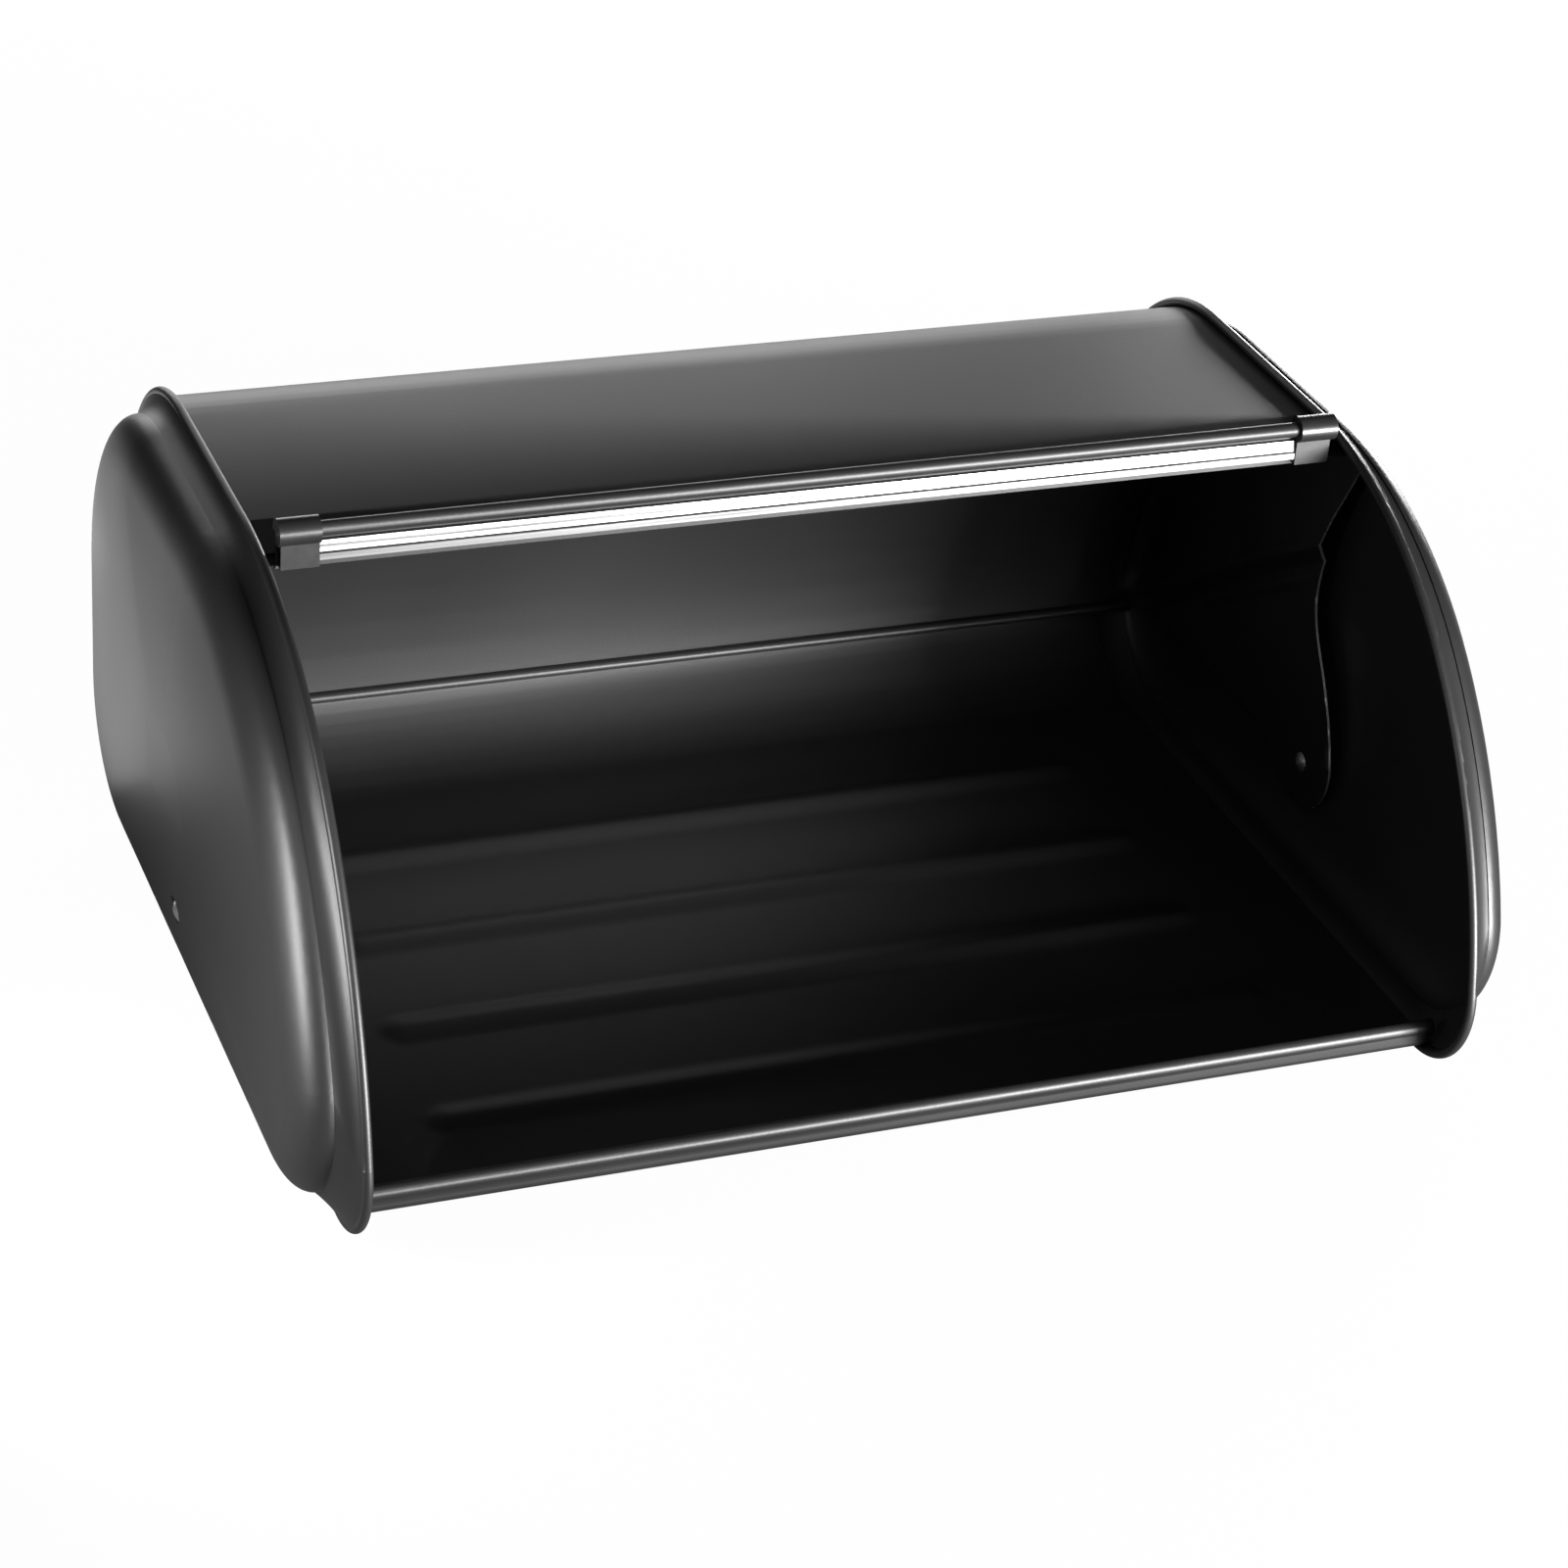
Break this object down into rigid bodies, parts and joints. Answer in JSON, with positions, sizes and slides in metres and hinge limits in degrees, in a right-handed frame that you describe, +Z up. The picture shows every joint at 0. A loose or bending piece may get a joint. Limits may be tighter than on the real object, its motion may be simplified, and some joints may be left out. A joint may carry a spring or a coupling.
{
  "type": "bread box",
  "caption": "Sheet-steel bread box with dished end caps and a roll-front lid that turns back under the shelf on two rivets; a bright strip in clips is its handle.",
  "frame": {"origin": "on the worktop, under the middle of the box", "axes": "+X to the right as one faces the opening, +Y to the back, +Z up"},
  "size_m": [0.3888, 0.284, 0.1721],
  "materials": {
    "powder_coat": "satin black powder coat",
    "clip_plastic": "moulded, satin",
    "strip_steel": "brushed along its length",
    "rivet_plating": "bright plating",
    "washer_nylon": "plain nylon"
  },
  "bodies": {
    "housing": {"body_shell": "powder_coat", "end_cap_left": "powder_coat", "end_cap_right": "powder_coat", "pivot_rivets": "rivet_plating", "pivot_spacers": "washer_nylon"},
    "lid": {"lid": "powder_coat", "handle_clip_left": "clip_plastic", "handle_clip_right": "clip_plastic", "handle_strip": "strip_steel"}
  },
  "joints": [
    {"name": "lid_hinge", "type": "hinge", "parent": "housing", "child": "lid", "pos_m": [0, 0.003, 0.034], "axis": [1, 0, 0], "range_deg": [0, 89]}
  ]
}
